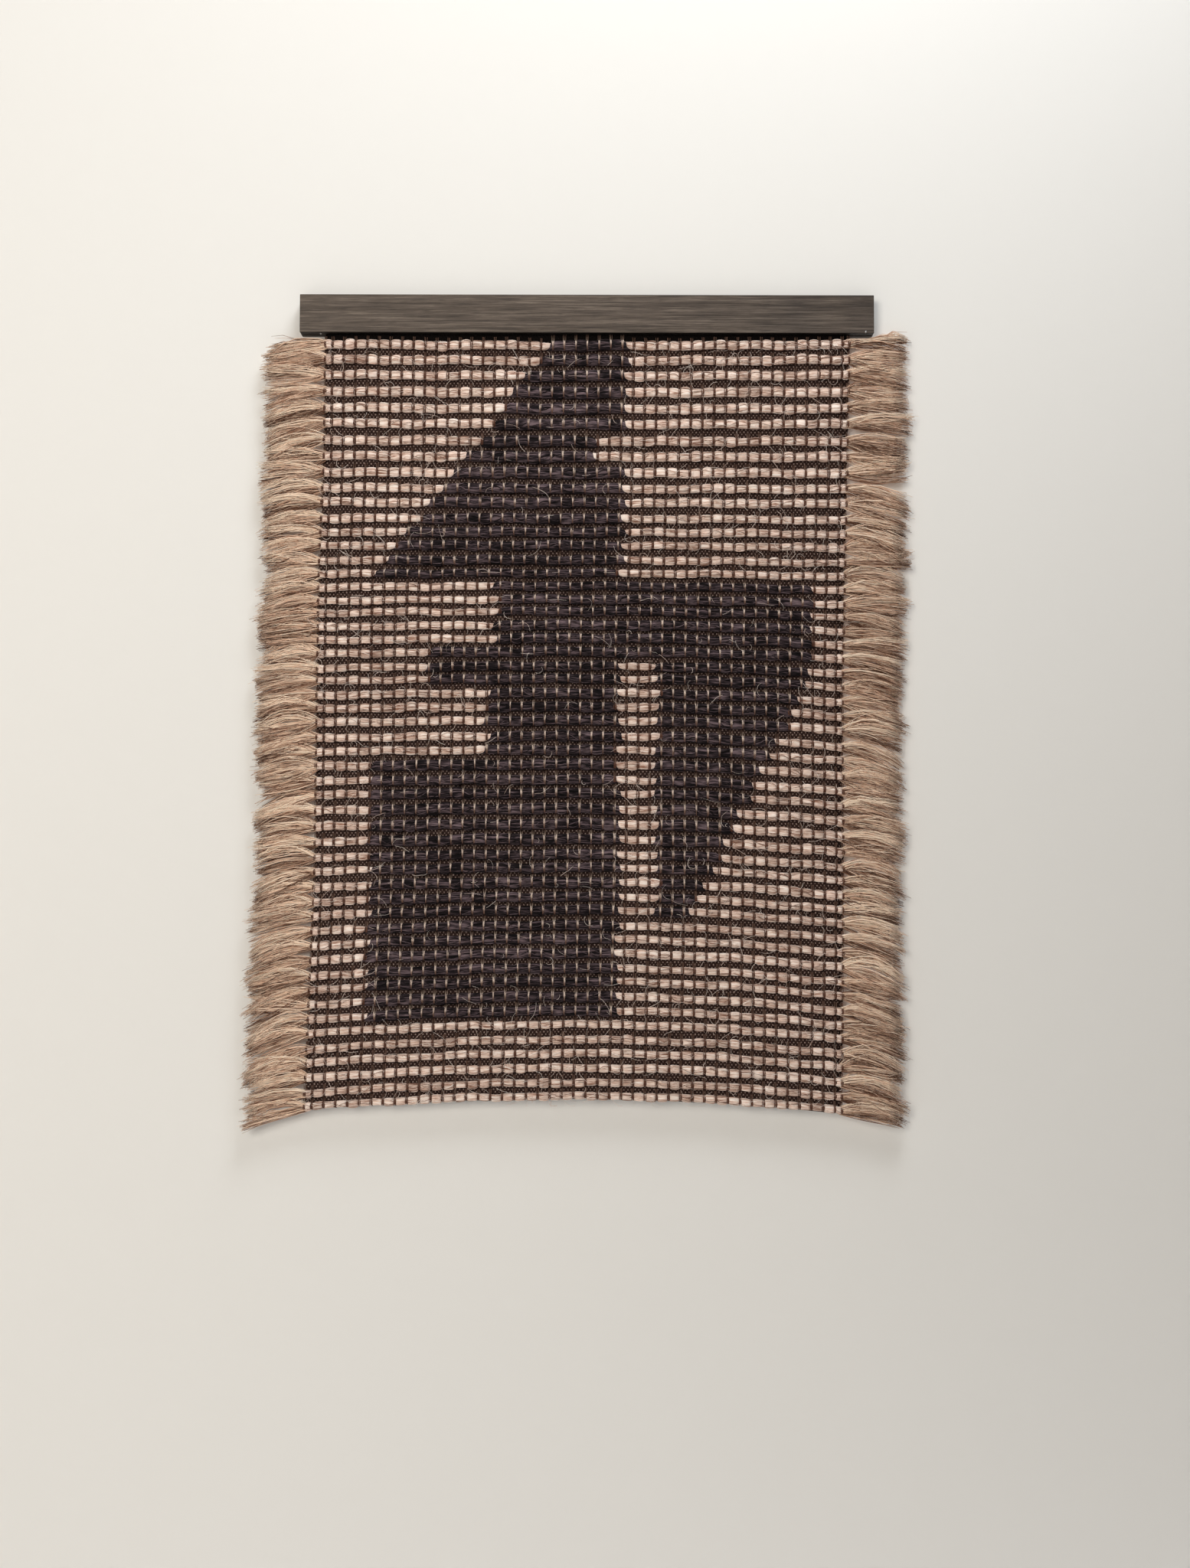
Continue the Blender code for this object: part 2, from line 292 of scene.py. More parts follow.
pin("pin_left", (-0.3480, -0.0145, -0.0250), (0.0, 0.0, -1.0), 0.0016)
pin("pin_right", (0.3640, -0.0200, -0.0236), (0.0, -1.0, 0.0), 0.0014)


# Lay of the weft: 53 thick bundles lie across the cloth. Each one's line is read from the rings of its
# solid: fringe tip, bend and selvage on the left, the middle of the cloth, then selvage, bend and tip on
# the right.
ROWS = 53
RING_GAP = 0.001
rings = np.empty((ROWS, 7, 3))
half_heights = np.empty(ROWS)
for row in range(ROWS):
    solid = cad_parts["weft_row_%02d" % (row + 1)].data
    points = np.empty(3 * len(solid.vertices), np.float32)
    solid.vertices.foreach_get("co", points)
    points = points.reshape(-1, 3)
    points = points[np.argsort(points[:, 0])]
    groups = np.split(points, np.nonzero(np.diff(points[:, 0]) > RING_GAP)[0] + 1)
    centres = np.array([(group.min(axis=0) + group.max(axis=0)) / 2 for group in groups])
    central = np.argmin(np.abs(centres[:, 0]))
    rings[row] = centres[[0, 1, 2, central, -3, -2, -1]]
    half_heights[row] = np.ptp(groups[central][:, 2]) / 2

chance = np.random.default_rng(53)
sway = chance.uniform(0, 2 * math.pi, (ROWS, 2))
ABOVE_FOLD, BELOW_FOLD = 15, 16
sway[BELOW_FOLD] = sway[ABOVE_FOLD]


def line_height(row, x):
    """Height of a bundle's middle at x: on each side a parabola from the cloth's centre to the selvage,
    with a slight sway of about a millimetre, the sum of two sine waves 153 and 65 mm long."""
    end = rings[row, np.where(x < 0, 2, 4)]
    middle = rings[row, 3, 2]
    bow = middle + (end[..., 2] - middle) * (x / end[..., 0]) ** 2
    return bow + 0.0007 * np.sin(x * 41 + sway[row, 0]) + 0.0004 * np.sin(x * 97 + sway[row, 1])


# Ground cloth: a thin, dense weave of near-black wool on brown warps, one length from the slot between the
# strips to the last bundle. It is cut into two pieces behind the eighth bundle.
def sleeves(name, batches):
    """A mesh of many closed tubes. A batch is a grid of points (tube, ring along it, point round the
    ring), a UV grid one longer round the ring so that the seam stays clean, and a tone for each point.
    Both ends are capped. The cloth's lower part hangs a little away from the wall, by the 1.5th power of
    the depth below lean_start."""
    points, corners, lengths, uvs, tones = [], [], [], [], []
    base = 0
    for grid, uv, tone in batches:
        tubes, along, around = grid.shape[:3]
        index = base + np.arange(tubes * along * around).reshape(tubes, along, around)
        after = np.roll(index, -1, axis=2)
        walls = np.stack([index[:, :-1], after[:, :-1], after[:, 1:], index[:, 1:]], -1)
        near, far = uv[:, :, :-1], uv[:, :, 1:]
        wall_uv = np.stack([near[:, :-1], far[:, :-1], far[:, 1:], near[:, 1:]], -2)
        caps = np.concatenate([index[:, 0, ::-1], index[:, -1]])
        cap_uv = np.concatenate([near[:, 0, ::-1], near[:, -1]])
        points.append(grid.reshape(-1, 3))
        tones.append(tone.reshape(-1))
        corners += [walls.reshape(-1), caps.reshape(-1)]
        uvs += [wall_uv.reshape(-1, 2), cap_uv.reshape(-1, 2)]
        lengths += [np.full(walls[..., 0].size, 4), np.full(len(caps), around)]
        base += index.size
    points = np.concatenate(points)
    lean, lean_start, lean_length = 0.0058, -0.40, 0.65
    points[:, 1] -= lean * np.clip((lean_start - points[:, 2]) / lean_length, 0, 1) ** 1.5
    corners = np.concatenate(corners)
    lengths = np.concatenate(lengths)
    mesh = bpy.data.meshes.new(name)
    mesh.vertices.add(len(points))
    mesh.vertices.foreach_set("co", points.astype(np.float32).ravel())
    mesh.loops.add(len(corners))
    mesh.loops.foreach_set("vertex_index", corners.astype(np.int32))
    mesh.polygons.add(len(lengths))
    mesh.polygons.foreach_set("loop_start", np.r_[0, np.cumsum(lengths)[:-1]].astype(np.int32))
    mesh.uv_layers.new(name="run").data.foreach_set("uv", np.concatenate(uvs).astype(np.float32).ravel())
    tone = mesh.attributes.new("tone", "FLOAT", "POINT")
    tone.data.foreach_set("value", np.concatenate(tones).astype(np.float32))
    mesh.update(calc_edges=True)
    mesh.shade_smooth()
    return mesh


def ground_sheet(name, first, last, columns=36, per_row=4):
    """A closed sheet 1.4 mm thick. Its lines follow the bundles: a line numbered 5.5 lies halfway between
    bundles 5 and 6, line 0 is the top of the hem, and the edges go in and out by a sine between one bundle
    and the next. The two faces are one tube, flattened, that runs down the cloth."""
    front_face, back_face, foot = -0.0097, -0.0083, 0.012
    steps = np.linspace(first, last, int(round((last - first) * per_row)) + 1)
    known = np.arange(1, ROWS + 1)
    nibble = 0.0012 * np.sin(steps * 2 * math.pi + 0.8)
    left = np.interp(steps, known, rings[:, 2, 0]) - nibble
    right = np.interp(steps, known, rings[:, 4, 0]) + nibble
    across = left[:, None] + (right - left)[:, None] * np.linspace(0, 1, columns)
    lines = np.array([line_height(row, across[0]) for row in range(ROWS)])
    down = np.array([np.interp(steps, known, lines[:, column]) for column in range(columns)]).T
    hem_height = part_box("clamped_hem")[1][2] - rings[0, 3, 2]
    rise = np.where(steps < 1, (1 - steps) * hem_height, 0.0)[:, None]
    last_drop = np.where(steps > ROWS, (steps - ROWS) * foot, 0.0)[:, None]
    down = down + rise - last_drop
    front = np.stack([across, np.full_like(across, front_face), down], -1)
    back = np.stack([across, np.full_like(across, back_face), down], -1)
    grid = np.concatenate([front, back[:, ::-1]], axis=1)[None]
    flat_uv = np.stack([grid[..., 0], grid[..., 2]], -1)
    uv = np.concatenate([flat_uv, flat_uv[:, :, :1]], axis=2)
    return sleeves(name, [(grid[:, ::-1], uv[:, ::-1], np.ones(grid.shape[:3]))])


ground, tree, shader = finish("dark_ground_cloth", {"Roughness": 0.9, "Specular IOR Level": 0.1})
weave = node(tree, "UVMap", uv_map="run").outputs[0]
wander = node(tree, "TexNoise", {"Vector": weave, "Scale": 150.0, "Detail": 2.0}).outputs["Color"]
drift = node(tree, "VectorMath", {0: wander, 1: (0.0034, 0.0030, 0.0)}, operation="MULTIPLY").outputs[0]
weave_drift = node(tree, "VectorMath", {0: weave, 1: drift}).outputs[0]
thread_place = node(tree, "SeparateXYZ", {"Vector": weave_drift})


def swings(source, pitch):
    """A wave from -1 to 1 that repeats every pitch metres along source."""
    turns = node(tree, "Math", {0: source, 1: 2 * math.pi / pitch}, operation="MULTIPLY").outputs[0]
    return node(tree, "Math", {0: turns}, operation="SINE").outputs[0]


warp_wave = swings(thread_place.outputs["X"], 0.0048)
pick_wave = swings(thread_place.outputs["Y"], 0.0064)
check = node(tree, "Math", {0: warp_wave, 1: pick_wave}, operation="MULTIPLY").outputs[0]
flecks = noise(tree, weave, (260.0, 260.0, 1.0), 4.0, 0.0, 0.8)
lit = node(tree, "Math", {0: check, 1: flecks}, operation="MULTIPLY").outputs[0]
fibres = noise(tree, weave, (300.0, 1600.0, 1.0), 2.0)
wool = ramp(tree, fibres, (0.3, tint(26, 17, 16)), (0.7, tint(74, 56, 52)))
speck = ramp(tree, lit, (0.20, (0, 0, 0, 1)), (0.44, (1, 1, 1, 1)))
cloth = blended(tree, "MIX", speck, wool, tint(170, 150, 144))
# Painted shade: above the first bundle, under the batten, the weave is painted near-black without specks,
# standing in for the batten's shadow.
height = thread_place.outputs["Y"]
painted_shade_under_batten = node(tree, "MapRange", {"Value": height, "From Min": -0.0345, "From Max": -0.0325}).outputs[0]
cloth = blended(tree, "MIX", painted_shade_under_batten, cloth, tint(16, 12, 12))
tree.links.new(cloth, shader.inputs["Base Color"])
threads = node(tree, "Bump", {"Height": check, "Strength": 0.6, "Distance": 0.0008})
nap = {"Height": fibres, "Strength": 0.4, "Distance": 0.0004, "Normal": threads.outputs[0]}
tree.links.new(node(tree, "Bump", nap).outputs[0], shader.inputs["Normal"])

upper_cut = ground_sheet("ground_weave_upper", 0.0, 8.0)
lower_cut = ground_sheet("ground_weave_lower", 8.0, 53.25)
weave_upper = link_piece("ground_weave_upper", upper_cut, ground)
weave_lower = link_piece("ground_weave_lower", lower_cut, ground)
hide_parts("clamped_hem", "ground_cloth_upper")
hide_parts("ground_cloth_lower")
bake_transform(weave_upper)
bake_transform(weave_lower)


# Bundles: natural undyed fibre, and charcoal fibre in the pattern. Forty-seven ties pinch each bundle into
# square pillows about 15 mm long. Where the colours change, each length is cut to a point and laid over
# the other's end.
TIES = 47
BACK = -0.0100
NATURAL_PINCH = 0.84
CHARCOAL_PINCH = 0.93
swell = chance.normal(0.0, 1.0, (ROWS, TIES, 3))
swell[[ABOVE_FOLD, BELOW_FOLD]] *= 0.35
charcoal_girth = np.full(ROWS, 1.24)
charcoal_girth[[ABOVE_FOLD, BELOW_FOLD]] = 1.03


def tie_place(row, t):
    """Distance along the cloth of the tie numbered t, from 0 at the left selvage to 46 at the right one.
    The end ties hug the selvages, and the others are evenly spread."""
    left, right = rings[row, 2, 0], rings[row, 4, 0]
    last_inner, margin, both_margins = TIES - 2, 0.0105, 0.0200
    inner = left + margin + (t - 1) / (last_inner - 1) * (right - left - both_margins)
    outer_left = left + 0.001 + t * 0.0095
    outer_right = right - 0.0095 + (t - last_inner) * 0.0085
    return np.where(t < 1, outer_left, np.where(t > last_inner, outer_right, inner))


def bundle_skin(row, t, angle, pinch, girth, fill=1.0, shift=0.0, proud=0.0):
    """Points on a bundle's skin at tie number t and at an angle round it from the front, downwards. The
    section is a rounded square, flat against the cloth at the back: a sine and a cosine, each to the power
    square. Between ties its size follows a low power of a sine, down to the share pinch of its height in
    the 3 mm groove at each tie, and twice as far down in depth. fill thins it, shift moves it up by a
    share of its height, and proud lifts the point off the skin."""
    groove, puff_power, square, half_depth = 0.1, 0.3, 0.75, 0.0040
    interval = np.clip(np.floor(t), 0, TIES - 2).astype(int)
    part = np.clip((np.clip(t, 0, TIES - 1) - interval - groove) / (1 - 2 * groove), 0, 1)
    puff = np.sin(math.pi * part) ** puff_power
    wide = swell[row, interval]
    height_share = pinch + (1 - pinch) * puff
    tall = girth * half_heights[row] * height_share * (1 + 0.085 * puff * wide[..., 0]) * fill
    dip = 2 * pinch - 0.96
    depth_share = dip + (1 - dip) * puff
    deep = half_depth * depth_share * (1 + 0.07 * puff * wide[..., 1]) * fill
    x = tie_place(row, t)
    middle = line_height(row, x) + half_heights[row] * (shift + 0.05 * puff * wide[..., 2])
    across = np.sign(np.cos(angle)) * np.abs(np.cos(angle)) ** square
    down = np.sign(np.sin(angle)) * np.abs(np.sin(angle)) ** square
    y = BACK - deep - (deep + proud) * across
    return np.stack(np.broadcast_arrays(x, y, middle - (tall + proud) * down), -1)


PILLOW = np.array([0, 0.1, 0.155, 0.28, 0.5, 0.72, 0.845, 0.9])
STATIONS = (np.arange(TIES - 1)[:, None] + PILLOW).ravel()
ROUND = 14


def bundle_length(row, start, stop, pinch, girth, tone, left_end, right_end):
    """One length of bundle between two tie numbers, as a tube. Each end is a neck that runs out into the
    fringe, or a point. An end is a list of stations from the full section outwards: tie offset, fill and
    shift."""
    full = STATIONS[(STATIONS > start + left_end[0, 0]) & (STATIONS < stop + right_end[0, 0])]
    t = np.r_[start + left_end[::-1, 0], full, stop + right_end[:, 0]]
    fill = np.r_[left_end[::-1, 1], np.ones(len(full)), right_end[:, 1]]
    shift = np.r_[left_end[::-1, 2], np.zeros(len(full)), right_end[:, 2]]
    angle = np.linspace(0, 2 * math.pi, ROUND, endpoint=False)
    grid = bundle_skin(row, t[:, None], angle, pinch, girth, fill[:, None], shift[:, None])
    skin_round = np.linspace(0, 0.034, ROUND + 1)
    uv = np.stack(np.broadcast_arrays(grid[:, :1, 0], skin_round), -1) + [0.0, 0.05 * row]
    interval = np.clip(np.floor(t), 0, TIES - 2).astype(int)
    shade = tone * (1 + 0.08 * swell[row, interval, 2])
    return grid[None], uv[None], np.repeat(shade, ROUND)


def bundle_strands(row, start, stop, pinch, girth, tone, count=5):
    """Loose strands on the front of each pillow, from one tie to the next, some of them crossing. They are
    thin three-sided tubes that follow the bundle's skin, a little proud of it."""
    first = np.arange(math.ceil(start - 0.01), math.floor(stop + 0.01))
    if not len(first):
        return None
    number = len(first) * count
    begin = np.repeat(first, count)[:, None]
    part = np.array([0.08, 0.16, 0.30, 0.5, 0.70, 0.84, 0.92])
    angle_from = chance.uniform(-1.35, 1.35, (number, 1))
    angle_to = np.clip(angle_from + chance.normal(0, 0.42, (number, 1)), -1.45, 1.45)
    bow = chance.normal(0, 0.16, (number, 1)) * np.sin(part * math.pi)
    angle = angle_from + (angle_to - angle_from) * part + bow
    lift = chance.uniform(-0.0001, 0.0005, (number, 1)) + 0.0003 * np.sin(part * math.pi)
    path = bundle_skin(row, begin + part, angle, pinch, girth, proud=lift)
    thick = chance.uniform(0.00038, 0.00082, (number, 1)) * np.array([0.7, 1, 1, 1, 1, 1, 0.7])
    return strands(path, thick, tone * chance.uniform(0.66, 1.28, number))


def strands(path, thick, tone, sides=3):
    """Tubes carried along paths (tube, step, xyz): round each step, a ring square to the path, whose first
    point faces forwards."""
    along = np.gradient(path, axis=1)
    along /= np.linalg.norm(along, axis=-1, keepdims=True)
    forward = np.array([0.0, -1.0, 0.0])
    first = forward - (along @ forward)[..., None] * along
    first /= np.maximum(np.linalg.norm(first, axis=-1, keepdims=True), 1e-6)
    second = np.cross(along, first)
    angle = np.linspace(0, 2 * math.pi, sides, endpoint=False)
    ring = first[..., None, :] * np.cos(angle)[:, None] + second[..., None, :] * np.sin(angle)[:, None]
    grid = path[..., None, :] + thick[..., None, None] * ring
    steps = np.linalg.norm(np.diff(path, axis=1), axis=-1)
    run = np.concatenate([np.zeros((len(path), 1)), np.cumsum(steps, axis=1)], axis=1)
    offset = chance.uniform(0, 5, (len(path), 1, 1))
    uv = np.stack(np.broadcast_arrays(run[..., None] + offset, np.linspace(0, 0.002, sides + 1)), -1)
    return grid, uv, np.broadcast_to(tone[:, None, None], grid.shape[:3])


def fibre_finish(name, shadow, middle, light, sheen):
    """Combed fibre: streaks along the run that are a few tenths of a millimetre wide, in three shades, with
    relief to match. The darkest is partly the fibre's own brown and partly painted shade between strands,
    and the lightest is partly a painted highlight on them. The piece's own tone lightens or darkens it."""
    sockets = {"Roughness": 0.75, "Specular IOR Level": 0.1 + sheen, "Sheen Weight": sheen}
    material, tree, shader = finish(name, sockets)
    run = node(tree, "UVMap", uv_map="run").outputs[0]
    fine = noise(tree, run, (55.0, 1150.0, 1.0), 3.0, 0.4, 0.65)
    coarse = noise(tree, run, (38.0, 420.0, 1.0), 2.0, 0.3)
    both = node(tree, "Math", {0: fine, 1: coarse}, operation="ADD").outputs[0]
    half = node(tree, "Math", {0: both, 1: 0.5}, operation="MULTIPLY").outputs[0]
    tone = node(tree, "Attribute", attribute_name="tone").outputs["Fac"]
    lighter = node(tree, "Math", {0: tone, 1: 0.22, 2: -0.22}, operation="MULTIPLY_ADD").outputs[0]
    shifted = node(tree, "Math", {0: half, 1: lighter}, operation="ADD").outputs[0]
    colour = ramp(tree, shifted, (0.39, shadow), (0.485, middle), (0.59, light))
    dull = node(tree, "Math", {0: tone, 1: 1.04}, operation="MINIMUM").outputs[0]
    tree.links.new(blended(tree, "MULTIPLY", 1.0, colour, dull), shader.inputs["Base Color"])
    relief = node(tree, "Bump", {"Height": half, "Strength": 1.0, "Distance": 0.0018})
    tree.links.new(relief.outputs[0], shader.inputs["Normal"])
    return material


natural = fibre_finish("natural_fibre", tint(142, 98, 78), tint(233, 204, 190), tint(253, 241, 234), 0.12)
charcoal = fibre_finish("dark_fibre", tint(7, 4, 6), tint(31, 23, 28), tint(112, 96, 102), 0.02)


# Pattern: which stretch of each bundle is charcoal, in tie numbers. A stepped wedge widens down the left,
# a band crosses to the right, a block narrows below it, and a column runs down to the plain rows at the
# foot. The seventh and eighth lengths stop short of the column's right side.
COLUMN_RIGHT = 26.0
BLOCK_LEFT = 30.0
charcoal_lengths = []
for number in range(1, ROWS + 1):
    block_right = 42.2 - 0.64 * max(number - 24, 0)
    if number <= 16:
        spans = [(21.05 - 0.98 * number, COLUMN_RIGHT)]
    elif number <= 21:
        spans = [(16.0, 42.3)]
    elif number == 22:
        spans = [(10.3, 42.3)]
    elif number <= 24:
        spans = [(10.3, COLUMN_RIGHT), (BLOCK_LEFT, block_right)]
    elif number <= 29:
        spans = [(15.4, COLUMN_RIGHT), (BLOCK_LEFT, block_right)]
    elif number <= 40:
        spans = [(5.5, COLUMN_RIGHT), (BLOCK_LEFT, block_right)]
    elif number <= 47:
        spans = [(5.5, COLUMN_RIGHT)]
    else:
        spans = []
    stagger = chance.uniform(-0.3, 0.3, (len(spans), 2))
    charcoal_lengths.append([(a + s[0], b + s[1]) for (a, b), s in zip(spans, stagger)])
seventh, eighth = 6, 7
charcoal_lengths[seventh] = [(charcoal_lengths[seventh][0][0], 23.5)]
charcoal_lengths[eighth] = [(charcoal_lengths[eighth][0][0], 23.3)]


# Lengths: every bundle is laid in pieces, natural fibre to the selvages and charcoal between. NECK is how
# it thins out into the fringe, POINT how the natural fibre is cut to a point, and TUCK how the charcoal
# dips below that.
NECK = np.array([[-0.02, 0.95, 0.0], [0.35, 0.85, 0.0], [0.8, 0.7, 0.0], [1.4, 0.5, 0.0], [2.2, 0.2, 0.0]])
POINT = np.array(
    [
        [-0.8, 0.97, 0.0],
        [-0.6, 0.90, 0.05],
        [-0.35, 0.76, 0.12],
        [-0.1, 0.6, 0.2],
        [0.1, 0.45, 0.26],
        [0.3, 0.28, 0.3],
        [0.5, 0.06, 0.32],
    ]
)
TUCK = np.array(
    [
        [0.0, 0.97, -0.04],
        [0.25, 0.82, -0.16],
        [0.5, 0.62, -0.26],
        [0.75, 0.36, -0.34],
        [0.95, 0.08, -0.36],
    ]
)
leftwards = np.array([-1.0, 1.0, 1.0])

for row in range(ROWS):
    body = "cloth_upper" if row <= ABOVE_FOLD else "cloth_lower"
    tone = 1.0 + chance.normal(0, 0.045)
    borders = [0.0] + [border for span in charcoal_lengths[row] for border in span] + [TIES - 1.0]
    parts = []
    for number in range(0, len(borders), 2):
        start, stop = borders[number], borders[number + 1]
        at_left, at_right = number == 0, number == len(borders) - 2
        left_end = (NECK if at_left else POINT) * leftwards
        right_end = NECK if at_right else POINT
        parts.append(bundle_length(row, start, stop, NATURAL_PINCH, 1.0, tone, left_end, right_end))
        bare_start, bare_stop = start + (not at_left), stop - (not at_right)
        parts.append(bundle_strands(row, bare_start, bare_stop, NATURAL_PINCH, 1.0, tone))
    name = "bundle_natural_%02d" % (row + 1)
    piece = link_piece(name, sleeves(name, [part for part in parts if part]), natural)
    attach(piece, body)
    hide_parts("weft_row_%02d" % (row + 1))
    if not charcoal_lengths[row]:
        continue
    parts = []
    girth = charcoal_girth[row]
    for start, stop in charcoal_lengths[row]:
        parts.append(bundle_length(row, start, stop, CHARCOAL_PINCH, girth, tone, TUCK * leftwards, TUCK))
        parts.append(bundle_strands(row, start, stop, CHARCOAL_PINCH, girth, tone))
    name = "bundle_charcoal_%02d" % (row + 1)
    piece = link_piece(name, sleeves(name, [part for part in parts if part]), charcoal)
    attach(piece, body)


# Ties: three fine brown warp yarns at each tie. They come down the ground cloth side by side, close up over
# the bundle, and go back into the cloth below it. Their upper halves are painted pale, a painted highlight
# where light from above falls on them, most of all on the charcoal.
yarn, tree, shader = finish("warp_yarn", {"Roughness": 0.8, "Specular IOR Level": 0.2})
tone = node(tree, "Attribute", attribute_name="tone").outputs["Fac"]
run = node(tree, "UVMap", uv_map="run").outputs[0]
twist = noise(tree, run, (900.0, 900.0, 1.0), 2.0)
# Painted highlight: tone 0 is the yarn's own brown, and tone 1 is the pale painted highlight on its upper
# half.
painted_highlight_ramp = ramp(tree, tone, (0.0, tint(122, 84, 70)), (0.5, tint(156, 130, 119)), (1.0, tint(240, 222, 210)))
ply = ramp(tree, twist, (0.3, tint(170, 165, 160)), (0.7, tint(255, 255, 255)))
tree.links.new(blended(tree, "MULTIPLY", 1.0, painted_highlight_ramp, ply), shader.inputs["Base Color"])
relief = node(tree, "Bump", {"Height": twist, "Strength": 0.5, "Distance": 0.0003})
tree.links.new(relief.outputs[0], shader.inputs["Normal"])

on_charcoal = np.zeros((ROWS, TIES))
for row, spans in enumerate(charcoal_lengths):
    for start, stop in spans:
        on_charcoal[row] += (np.arange(TIES) > start - 0.2) & (np.arange(TIES) < stop + 0.2)


def tie_yarns(name, first, last, body):
    """All the ties of a group of bundles. Down each yarn the height goes from a band above the bundle to
    just below it, in halves of the bundle's height. The depth follows the bundle's rounded face, a circle
    raised to a power, and the spread closes to 0.6 mm each side on charcoal. The tone is how pale the yarn
    is painted: a painted highlight on its upper half, strongest on charcoal."""
    row, tie, strand = np.meshgrid(np.arange(first, last), np.arange(TIES), np.arange(-1, 2), indexing="ij")
    row, tie, strand = row.ravel(), tie.ravel(), strand.ravel()
    height = np.array([2.50, 1.25, 0.90, 0.35, -0.25, -0.8, -1.15])
    dark = on_charcoal[row, tie][:, None] > 0
    gathered = np.array([0.0018, 0.0015, 0.0010, 0.0007, 0.0006, 0.0006, 0.0012])
    spread = np.where(dark, gathered, np.array([0.0015, 0.0014, 0.0012, 0.0012, 0.0012, 0.0012, 0.0013]))
    pinch = np.where(dark, CHARCOAL_PINCH, NATURAL_PINCH)
    half = half_heights[row][:, None] * pinch * np.where(dark, charcoal_girth[row][:, None], 1.0)
    x = tie_place(row, tie.astype(float))
    middle = line_height(row, x)
    jitter = chance.normal(0, 0.00025, (len(row), 1)) + chance.normal(0, 0.00012, (len(row), len(height)))
    across = x[:, None] + strand[:, None] * spread + jitter
    z = middle[:, None] + half * height
    face = np.sqrt(np.clip(1 - (height / 1.1) ** 2, 0, 1)) ** 0.8
    front = np.where(dark, 0.0073, 0.0068)
    off_cloth, middle_proud = 0.0003, 0.0004
    y = BACK - off_cloth - (front + off_cloth) * face
    y = y - middle_proud * (strand[:, None] == 0) * (face > 0)
    path = np.stack([across, y, z], -1)
    drawn = np.where(dark, np.array([0.8, 1.1, 1.35, 1.3, 1.0, 0.75, 0.7]), 1.0)
    thick = 0.00068 * drawn * chance.uniform(0.85, 1.15, (len(row), 1))
    grid, uv, _ = strands(path, thick, np.ones(len(row)))
    # Painted highlight along each yarn by height, strongest over charcoal.
    over_charcoal = np.array([0.30, 0.80, 1.0, 0.95, 0.45, 0.12, 0.05])
    over_natural = np.array([0.30, 0.45, 0.25, 0.06, 0.0, 0.0, 0.10])
    painted_highlight = np.where(dark, over_charcoal, over_natural) * chance.uniform(0.75, 1.1, (len(row), 1))
    mesh = sleeves(name, [(grid, uv, np.repeat(painted_highlight[..., None], 3, axis=2))])
    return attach(link_piece(name, mesh, yarn), body)


ties = [
    tie_yarns("ties_upper", 0, BELOW_FOLD, "cloth_upper"),
    tie_yarns("ties_middle", BELOW_FOLD, 34, "cloth_lower"),
    tie_yarns("ties_lower", 34, ROWS, "cloth_lower"),
]


# Fringe: beyond each selvage a bundle is left long and combed out into a tassel of loose fibres, which
# fans out, droops with its own weight, and is trimmed nearly straight. Combed fibre looks a little warmer
# than packed fibre.
combed = fibre_finish("combed_fibre", tint(126, 78, 52), tint(232, 193, 168), tint(255, 236, 217), 0.12)


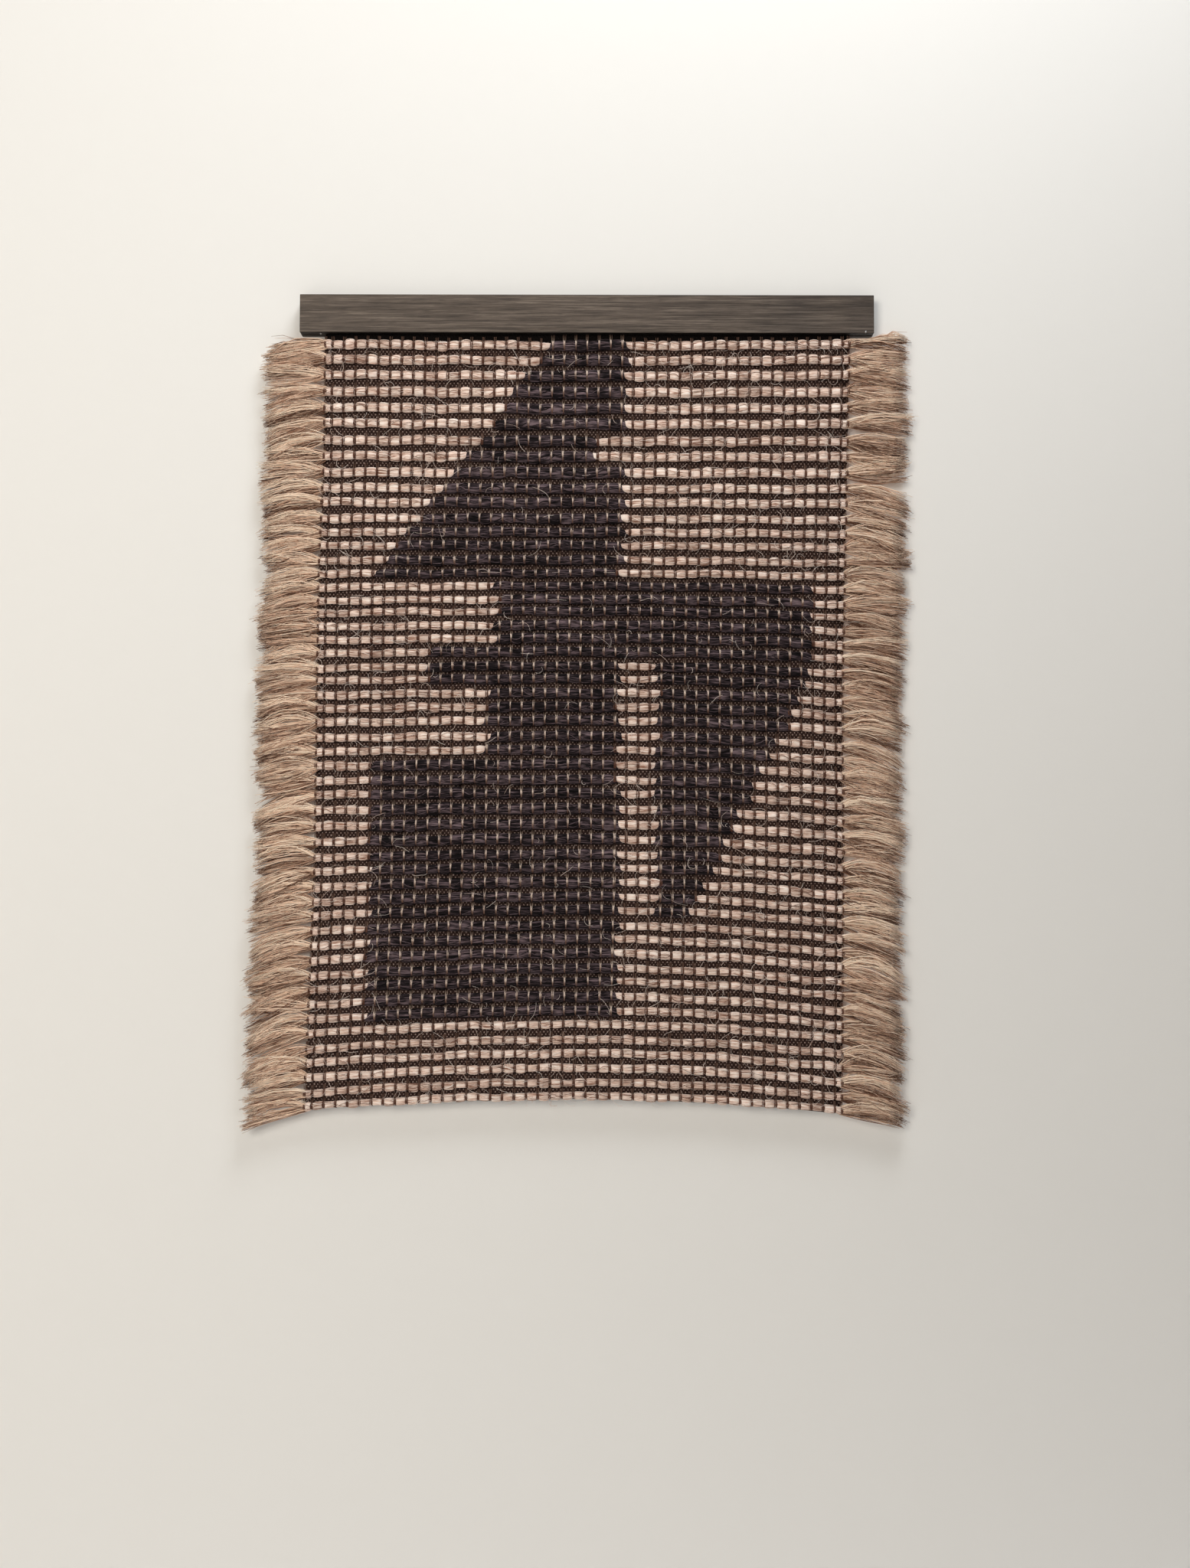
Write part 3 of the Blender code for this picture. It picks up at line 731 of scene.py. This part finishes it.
def tassels(name, first, last, side, body, count=112):
    """Tassels of a group of bundles at one side. Eight locks leave a bundle's end, spread within the first
    15 mm to the room between bundles, and sag together. A fibre keeps to its lock, but wanders more and
    more towards the tip: its height is the bundle's line, plus its place in the bundle's end, fan, fall,
    bow and wave, each a power or a sine of the part of its length. The first tassel stays under the
    batten, and on the right it is brushed up."""
    near, tip = (2, 0) if side < 0 else (4, 6)
    row = np.repeat(np.arange(first, last), count)
    number = len(row)
    locks = 8
    lock = chance.integers(0, locks, number)
    room = np.abs(np.gradient(rings[:, near, 2]))
    even_fan = np.linspace(-0.56, 0.56, locks) * room[:, None]
    lock_fan = even_fan + chance.normal(0, 0.0024, (ROWS, locks))
    lock_bow = chance.normal(0.0022, 0.0028, (ROWS, locks))
    lock_deep = chance.uniform(-1, 1, (ROWS, locks))
    lock_long = chance.normal(0, 0.034, (ROWS, locks)) + chance.normal(0, 0.040, (ROWS, 1))
    # Random tone per lock, times painted light: the upper locks are painted lighter and the lower ones
    # darker, as if lit from above.
    lock_tone_and_shade = chance.uniform(0.82, 1.24, (ROWS, locks)) * np.linspace(0.66, 1.26, locks)
    tassel_sag = chance.normal(-0.0035, 0.0058, ROWS)
    lock_fan[0] = lock_fan[0] + 0.009 if side > 0 else lock_fan[0] * 0.7 - 0.0025
    part = np.array([0.0, 0.07, 0.18, 0.36, 0.58, 0.80, 1.0])
    root, end = rings[row, near], rings[row, tip]
    stray = chance.random(number) < 0.14
    reach = 1 + lock_long[row, lock] + chance.normal(0, 0.026, number)
    reach = reach + 0.07 * (chance.random(number) < 0.05)
    x = root[:, :1] - side * 0.005 + (end[:, :1] - root[:, :1]) * part * reach[:, None]
    fall = (end[:, 2:] - root[:, 2:] + tassel_sag[row, None]) * part**1.5
    spot = chance.uniform(0, 1, (number, 2))
    ring_reach = np.sqrt(spot[:, 1:])
    start_z = half_heights[row][:, None] * ring_reach * np.sin(spot[:, :1] * 2 * math.pi)
    start_y = 0.0028 * ring_reach * np.cos(spot[:, :1] * 2 * math.pi)
    spread = 1 - (1 - part) ** 3.0
    fan = lock_fan[row, lock][:, None] * spread + chance.normal(0, 0.0010, (number, 1)) * part
    fan = fan + (stray * chance.normal(0, 0.0058, number))[:, None] * part
    bow = lock_bow[row, lock][:, None] * np.sin(part * math.pi) * (1 + chance.normal(0, 0.35, (number, 1)))
    wave_height = chance.normal(0, 0.0017, (number, 1))
    wave = wave_height * np.sin(part * 9 + chance.uniform(0, 6.3, (number, 1))) * part**0.5
    z = line_height(row, root[:, 0])[:, None] + start_z * (1 - 0.35 * part) + fan + fall + bow + wave
    under_batten, past_batten = -0.0308, 0.379
    ceiling = under_batten + 0.9 * np.clip(np.abs(x) - past_batten, 0, 1)
    ceiling = ceiling - chance.uniform(0, 0.0015, (number, 1))
    z = np.minimum(z, ceiling - chance.uniform(0, 0.010, (number, 1)) * part)
    deep = 0.0026 * lock_deep[row, lock][:, None] + chance.normal(0, 0.0009, (number, 1))
    bundle_middle = -0.0138
    y = bundle_middle + start_y * (1 - part) + deep * part**0.6
    path = np.stack(np.broadcast_arrays(x, y, z), -1)
    thick = chance.uniform(0.00034, 0.00080, (number, 1)) * np.array([1.0, 1.0, 1.0, 1.0, 0.9, 0.8, 0.4])
    # Painted shade: locks that lie deeper, towards the wall, are painted darker.
    shade = chance.uniform(0.62, 1.38, number) * lock_tone_and_shade[row, lock] * (1 - 0.20 * lock_deep[row, lock])
    mesh = sleeves(name, [strands(path, thick, shade)])
    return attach(link_piece(name, mesh, combed), body)


fringe_upper = [
    tassels("fringe_left_upper", 0, BELOW_FOLD, -1, "cloth_upper"),
    tassels("fringe_right_upper", 0, BELOW_FOLD, 1, "cloth_upper"),
]
fringe_lower = [
    tassels("fringe_left_lower", BELOW_FOLD, ROWS, -1, "cloth_lower"),
    tassels("fringe_right_lower", BELOW_FOLD, ROWS, 1, "cloth_lower"),
]


# Stray hairs: single fibres that have worked loose from the natural bundles and curl over their
# neighbours. They stand up to 2 mm proud of them, and few start on charcoal.
def stray_hairs(name, first, last, body, count):
    """Loose hairs, each a run of equal steps whose direction turns by a random amount plus a steady curl.
    They stay between the group's top and bottom, and rise and fall in depth by half a sine."""
    row = chance.integers(first, last, count)
    t = chance.uniform(0.3, 45.7, count)
    inside = on_charcoal[row, np.round(t).astype(int)] > 0
    keep = ~inside | (chance.random(count) < 0.12)
    row, t = row[keep], t[keep]
    number, steps = len(row), 9
    x = tie_place(row, t)
    z = line_height(row, x) + chance.uniform(-1, 1, number) * half_heights[row]
    heading = chance.uniform(-0.7, 0.7, number) + math.pi * (chance.random(number) < 0.5)
    turning = chance.normal(0, 0.20, (number, 1)) + chance.normal(0, 0.16, (number, steps))
    direction = heading[:, None] + np.cumsum(turning, axis=1)
    step = chance.uniform(0.0008, 0.0034, (number, 1))
    across = np.cumsum(np.cos(direction) * step, axis=1)
    down = np.cumsum(np.sin(direction) * step, axis=1)
    top = rings[first, 3, 2] + 0.004
    bottom = rings[last - 1, 3, 2] - (0.012 if last == ROWS else 0.0)
    height = np.clip(z[:, None] + down, bottom, top)
    proud = chance.uniform(0.0002, 0.0022, (number, 1)) * np.sin(np.linspace(0, math.pi, steps))
    pillow_front = -0.0182
    path = np.stack([x[:, None] + across, pillow_front - proud, height], -1)
    thick = chance.uniform(0.00013, 0.00026, (number, 1)) * np.ones(steps)
    mesh = sleeves(name, [strands(path, thick, chance.uniform(1.1, 1.6, number))])
    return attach(link_piece(name, mesh, natural), body)


hairs = [
    stray_hairs("stray_hairs_upper", 0, BELOW_FOLD, "cloth_upper", 900),
    stray_hairs("stray_hairs_lower", BELOW_FOLD + 1, ROWS, "cloth_lower", 1900),
]
